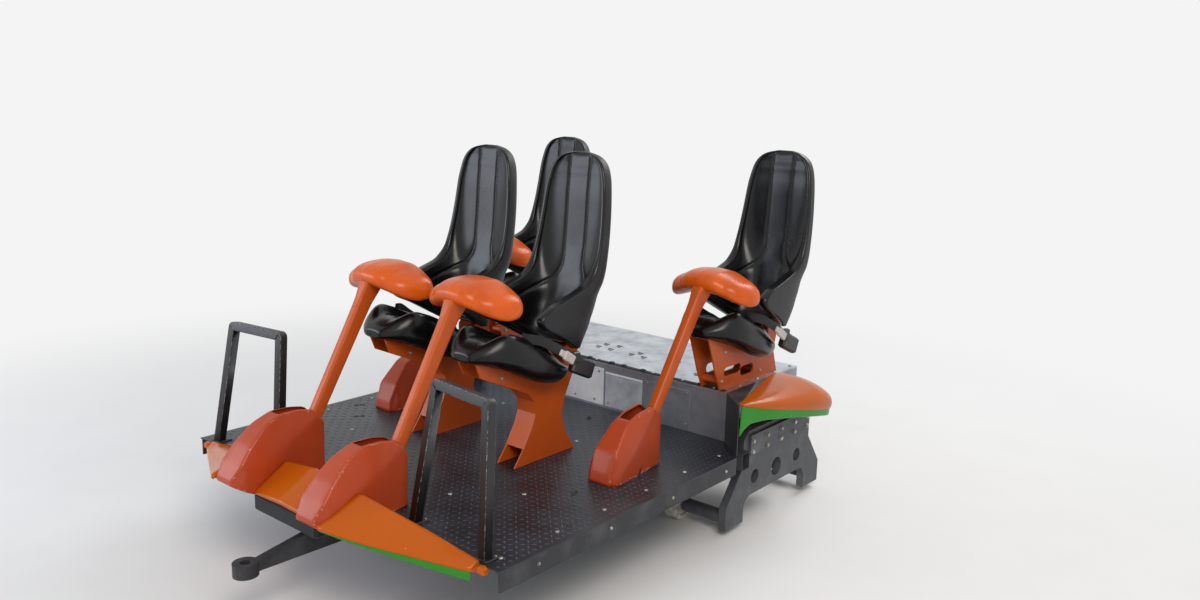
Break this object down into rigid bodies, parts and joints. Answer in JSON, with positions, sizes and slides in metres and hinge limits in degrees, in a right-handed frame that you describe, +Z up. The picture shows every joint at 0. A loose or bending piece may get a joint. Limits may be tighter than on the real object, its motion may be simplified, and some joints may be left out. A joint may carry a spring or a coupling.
{
  "type": "roller coaster car",
  "caption": "Low open coaster car: raised-back bucket seats on orange plate stands, swinging lap bars, tread deck, guard hoops and wheel carriers that clasp a round rail.",
  "frame": {"origin": "on the floor under the middle of the car, half-way between its two couplings", "axes": "+X the way the car travels, +Y its left side, +Z up"},
  "size_m": [2.854, 2.116, 1.744],
  "materials": {
    "frame_black": "satin black paint on steel",
    "steel_grey": "grey painted steel",
    "tread_plate": "dark coated aluminium tread plate",
    "bare_plate": "bare aluminium sheet",
    "orange_gloss": "glossy yellow-orange bodywork",
    "green_gloss": "glossy green stripe",
    "orange_steel": "red-orange paint on steel, chipped",
    "orange_pad": "red-orange moulded pad skin",
    "seat_black": "black moulded seat skin",
    "wheel_tread": "dark polyurethane tread",
    "wheel_hub": "machined aluminium hub",
    "wheel_nylon": "cast nylon wheel"
  },
  "bodies": {
    "car": {"chassis_frame": "frame_black", "axle_beam": "steel_grey", "front_tongue": "frame_black", "rear_clevis": "frame_black", "wheel_carriers": "steel_grey", "deck_plate": "tread_plate", "deck_fascias": "frame_black", "box_panels": "bare_plate", "box_top_plate": "bare_plate", "box_wings": "frame_black", "nose_cover": "orange_gloss", "nose_trim": "green_gloss", "guard_hoops": "frame_black", "fairings": "orange_gloss", "fairing_trims": "green_gloss", "seat_stands_inner": "orange_steel", "seat_stands_outer": "orange_steel", "seat_shells": "seat_black", "seat_bases": "seat_black", "bar_covers": "orange_steel"},
    "lap_bar_inner_left": {"bar_stem_inner_left": "orange_steel", "bar_pad_inner_left": "orange_pad"},
    "lap_bar_inner_right": {"bar_stem_inner_right": "orange_steel", "bar_pad_inner_right": "orange_pad"},
    "lap_bar_outer_left": {"bar_stem_outer_left": "orange_steel", "bar_pad_outer_left": "orange_pad"},
    "lap_bar_outer_right": {"bar_stem_outer_right": "orange_steel", "bar_pad_outer_right": "orange_pad"},
    "run_wheel_front_left": {"run_tyre_front_left": "wheel_tread", "run_hub_front_left": "wheel_hub"},
    "guide_wheel_front_left": {"guide_wheel_front_left": "wheel_nylon"},
    "under_wheel_front_left": {"under_wheel_front_left": "wheel_nylon"},
    "run_wheel_front_right": {"run_tyre_front_right": "wheel_tread", "run_hub_front_right": "wheel_hub"},
    "guide_wheel_front_right": {"guide_wheel_front_right": "wheel_nylon"},
    "under_wheel_front_right": {"under_wheel_front_right": "wheel_nylon"},
    "run_wheel_rear_left": {"run_tyre_rear_left": "wheel_tread", "run_hub_rear_left": "wheel_hub"},
    "guide_wheel_rear_left": {"guide_wheel_rear_left": "wheel_nylon"},
    "under_wheel_rear_left": {"under_wheel_rear_left": "wheel_nylon"},
    "run_wheel_rear_right": {"run_tyre_rear_right": "wheel_tread", "run_hub_rear_right": "wheel_hub"},
    "guide_wheel_rear_right": {"guide_wheel_rear_right": "wheel_nylon"},
    "under_wheel_rear_right": {"under_wheel_rear_right": "wheel_nylon"}
  },
  "joints": [
    {"name": "lap_bar_inner_left", "type": "hinge", "parent": "car", "child": "lap_bar_inner_left", "pos_m": [0.974, 0.268, 0.49], "axis": [0, 1, 0], "range_deg": [-4, 34]},
    {"name": "lap_bar_inner_right", "type": "hinge", "parent": "car", "child": "lap_bar_inner_right", "pos_m": [0.974, -0.268, 0.49], "axis": [0, 1, 0], "range_deg": [-4, 34]},
    {"name": "lap_bar_outer_left", "type": "hinge", "parent": "car", "child": "lap_bar_outer_left", "pos_m": [-0.063, 0.705, 0.49], "axis": [0, 1, 0], "range_deg": [-1, 34]},
    {"name": "lap_bar_outer_right", "type": "hinge", "parent": "car", "child": "lap_bar_outer_right", "pos_m": [-0.063, -0.705, 0.49], "axis": [0, 1, 0], "range_deg": [-1, 34]},
    {"name": "run_wheel_front_left_turn", "type": "hinge", "parent": "car", "child": "run_wheel_front_left", "pos_m": [-0.764, 0.6, 0.46], "axis": [0, 1, 0], "continuous": true},
    {"name": "guide_wheel_front_left_turn", "type": "hinge", "parent": "car", "child": "guide_wheel_front_left", "pos_m": [-0.769, 0.76, 0.24], "axis": [0, 0, 1], "continuous": true},
    {"name": "under_wheel_front_left_turn", "type": "hinge", "parent": "car", "child": "under_wheel_front_left", "pos_m": [-0.549, 0.6, 0.08], "axis": [0, 1, 0], "continuous": true},
    {"name": "run_wheel_front_right_turn", "type": "hinge", "parent": "car", "child": "run_wheel_front_right", "pos_m": [-0.764, -0.6, 0.46], "axis": [0, 1, 0], "continuous": true},
    {"name": "guide_wheel_front_right_turn", "type": "hinge", "parent": "car", "child": "guide_wheel_front_right", "pos_m": [-0.769, -0.76, 0.24], "axis": [0, 0, 1], "continuous": true},
    {"name": "under_wheel_front_right_turn", "type": "hinge", "parent": "car", "child": "under_wheel_front_right", "pos_m": [-0.549, -0.6, 0.08], "axis": [0, 1, 0], "continuous": true},
    {"name": "run_wheel_rear_left_turn", "type": "hinge", "parent": "car", "child": "run_wheel_rear_left", "pos_m": [-1.114, 0.6, 0.46], "axis": [0, 1, 0], "continuous": true},
    {"name": "guide_wheel_rear_left_turn", "type": "hinge", "parent": "car", "child": "guide_wheel_rear_left", "pos_m": [-1.109, 0.76, 0.24], "axis": [0, 0, 1], "continuous": true},
    {"name": "under_wheel_rear_left_turn", "type": "hinge", "parent": "car", "child": "under_wheel_rear_left", "pos_m": [-1.329, 0.6, 0.08], "axis": [0, 1, 0], "continuous": true},
    {"name": "run_wheel_rear_right_turn", "type": "hinge", "parent": "car", "child": "run_wheel_rear_right", "pos_m": [-1.114, -0.6, 0.46], "axis": [0, 1, 0], "continuous": true},
    {"name": "guide_wheel_rear_right_turn", "type": "hinge", "parent": "car", "child": "guide_wheel_rear_right", "pos_m": [-1.109, -0.76, 0.24], "axis": [0, 0, 1], "continuous": true},
    {"name": "under_wheel_rear_right_turn", "type": "hinge", "parent": "car", "child": "under_wheel_rear_right", "pos_m": [-1.329, -0.6, 0.08], "axis": [0, 1, 0], "continuous": true}
  ]
}
